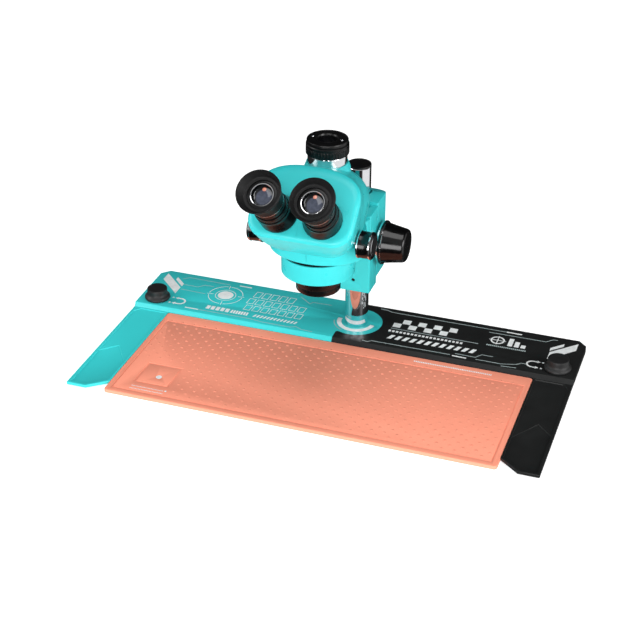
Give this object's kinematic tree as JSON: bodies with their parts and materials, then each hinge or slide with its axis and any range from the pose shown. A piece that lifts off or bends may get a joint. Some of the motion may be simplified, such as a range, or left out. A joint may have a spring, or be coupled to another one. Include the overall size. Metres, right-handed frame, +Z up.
{
  "type": "stereo microscope",
  "caption": "Trinocular stereo microscope on a chrome post, with rack focusing, zoom knobs, angled eyepieces, and a wide two-tone base with tray arms and a work mat.",
  "frame": {"origin": "centre of the footprint, on the bench surface below the head", "axes": "+X to the user's right along the long side of the base, +Y to the back of the bench, where the post stands, +Z up"},
  "size_m": [0.6246, 0.3505, 0.3508],
  "materials": {
    "teal_enamel": "smooth gloss enamel, black on the right half of the base",
    "salmon_silicone": "matt embossed silicone",
    "chrome": "polished",
    "black_plastic": "glossy moulded",
    "black_anodised": "black anodised, knurled where it turns",
    "black_rubber": "matt",
    "steel": "machined",
    "brass": "machined",
    "nylon": "moulded",
    "alloy": "machined",
    "glass": "coated, clear"
  },
  "bodies": {
    "base": {"base_plate": "teal_enamel", "work_mat": "salmon_silicone", "post": "chrome", "post_cap": "black_plastic", "post_bolt": "steel", "foot_rear_left": "black_rubber", "foot_rear_right": "black_rubber", "foot_front_left": "black_rubber", "foot_front_right": "black_rubber"},
    "deck_knob_left": {"deck_knob_left": "black_plastic", "deck_stud_left": "steel"},
    "deck_knob_right": {"deck_knob_right": "black_plastic", "deck_stud_right": "steel"},
    "height_bush": {"post_bush": "nylon"},
    "carrier": {"carrier": "teal_enamel", "dovetail_rail": "steel", "shaft_bush_left": "brass", "shaft_bush_right": "brass"},
    "clamp": {"clamp_knob": "black_plastic", "clamp_stud": "steel"},
    "pinion": {"pinion_shaft": "steel", "focus_collar_left": "chrome", "focus_collar_right": "chrome", "focus_knob_left": "black_plastic", "focus_knob_right": "black_plastic"},
    "arm": {"focus_arm": "teal_enamel", "focus_rack": "brass", "arm_screw": "steel", "head_lock_screw": "steel"},
    "head": {"head_body": "teal_enamel", "face_cover": "teal_enamel", "objective_barrel": "black_anodised", "objective_lens": "glass", "port_base_ring": "chrome", "port_top": "black_anodised", "port_screw_left": "steel", "port_screw_right": "steel", "port_lens": "glass", "beam_splitter": "glass", "zoom_rod_left": "steel", "zoom_rod_right": "steel"},
    "port_ring": {"port_lock_ring": "black_anodised"},
    "zoom": {"zoom_shaft": "steel", "zoom_knob_left": "black_plastic", "zoom_knob_right": "black_plastic"},
    "carriage_lower": {"zoom_carriage_lower": "alloy"},
    "carriage_upper": {"zoom_carriage_upper": "alloy"},
    "socket_left": {"eyepiece_socket_left": "black_plastic", "prism_left": "glass"},
    "dioptre_left": {"dioptre_ring_left": "black_anodised"},
    "eyepiece_left": {"eyepiece_left": "black_anodised", "eye_lens_left": "glass", "eyecup_left": "black_rubber"},
    "socket_right": {"eyepiece_socket_right": "black_plastic", "prism_right": "glass"},
    "dioptre_right": {"dioptre_ring_right": "black_anodised"},
    "eyepiece_right": {"eyepiece_right": "black_anodised", "eye_lens_right": "glass", "eyecup_right": "black_rubber"}
  },
  "joints": [
    {"name": "deck_knob_left_turn", "type": "hinge", "parent": "base", "child": "deck_knob_left", "pos_m": [-0.287, 0.0956, 0.011], "axis": [0, 0, 1], "range_deg": [-150, 150]},
    {"name": "deck_knob_right_turn", "type": "hinge", "parent": "base", "child": "deck_knob_right", "pos_m": [0.287, 0.0956, 0.011], "axis": [0, 0, 1], "range_deg": [-150, 150]},
    {"name": "post_height", "type": "slide", "parent": "base", "child": "height_bush", "axis": [0, 0, 1], "range_m": [-0.055, 0.03]},
    {"name": "post_swing", "type": "hinge", "parent": "height_bush", "child": "carrier", "pos_m": [0, 0.125, 0.158], "axis": [0, 0, 1], "continuous": true},
    {"name": "clamp_turn", "type": "hinge", "parent": "carrier", "child": "clamp", "pos_m": [0, 0.155, 0.158], "axis": [0, 1, 0], "range_deg": [0, 180]},
    {"name": "focus_travel", "type": "slide", "parent": "carrier", "child": "arm", "axis": [0, 0, 1], "range_m": [-0.025, 0.025]},
    {"name": "focus_pinion", "type": "hinge", "parent": "carrier", "child": "pinion", "pos_m": [0, 0.102, 0.1532], "axis": [1, 0, 0], "range_deg": [-235, 235]},
    {"name": "head_turn", "type": "hinge", "parent": "arm", "child": "head", "pos_m": [0, -0.0393, 0.19], "axis": [0, 0, 1], "continuous": true},
    {"name": "port_ring_turn", "type": "hinge", "parent": "head", "child": "port_ring", "pos_m": [0, -0.0066, 0.329], "axis": [0, 0, 1], "range_deg": [-60, 60]},
    {"name": "zoom_turn", "type": "hinge", "parent": "head", "child": "zoom", "pos_m": [0, -0.065, 0.236], "axis": [-1, 0, 0], "range_deg": [0, 160]},
    {"name": "carriage_lower_travel", "type": "slide", "parent": "head", "child": "carriage_lower", "axis": [0, 0, 1], "range_m": [0, 0.0088]},
    {"name": "carriage_upper_travel", "type": "slide", "parent": "head", "child": "carriage_upper", "axis": [0, 0, -1], "range_m": [0, 0.009]},
    {"name": "socket_left_turn", "type": "hinge", "parent": "head", "child": "socket_left", "pos_m": [-0.027, -0.1047, 0.2802], "axis": [0, -0.7071, 0.7071], "range_deg": [0, 75]},
    {"name": "dioptre_left_turn", "type": "hinge", "parent": "socket_left", "child": "dioptre_left", "pos_m": [-0.0306, -0.12344, 0.29894], "axis": [0, -0.7071, 0.7071], "range_deg": [-120, 120]},
    {"name": "eyepiece_left_lift", "type": "slide", "parent": "socket_left", "child": "eyepiece_left", "axis": [0, -0.7071, 0.7071], "range_m": [0, 0.04]},
    {"name": "socket_right_turn", "type": "hinge", "parent": "head", "child": "socket_right", "pos_m": [0.027, -0.1047, 0.2802], "axis": [0, -0.7071, 0.7071], "range_deg": [-75, 0]},
    {"name": "dioptre_right_turn", "type": "hinge", "parent": "socket_right", "child": "dioptre_right", "pos_m": [0.0306, -0.12344, 0.29894], "axis": [0, -0.7071, 0.7071], "range_deg": [-120, 120]},
    {"name": "eyepiece_right_lift", "type": "slide", "parent": "socket_right", "child": "eyepiece_right", "axis": [0, -0.7071, 0.7071], "range_m": [0, 0.04]}
  ],
  "couplings": [
    {"joint": "focus_pinion", "follows": "focus_travel", "rad_per_m": -156.25},
    {"joint": "zoom_turn", "follows": "carriage_lower_travel", "rad_per_m": 312.5},
    {"joint": "carriage_upper_travel", "follows": "carriage_lower_travel", "ratio": 1},
    {"joint": "socket_right_turn", "follows": "socket_left_turn", "ratio": -1}
  ]
}
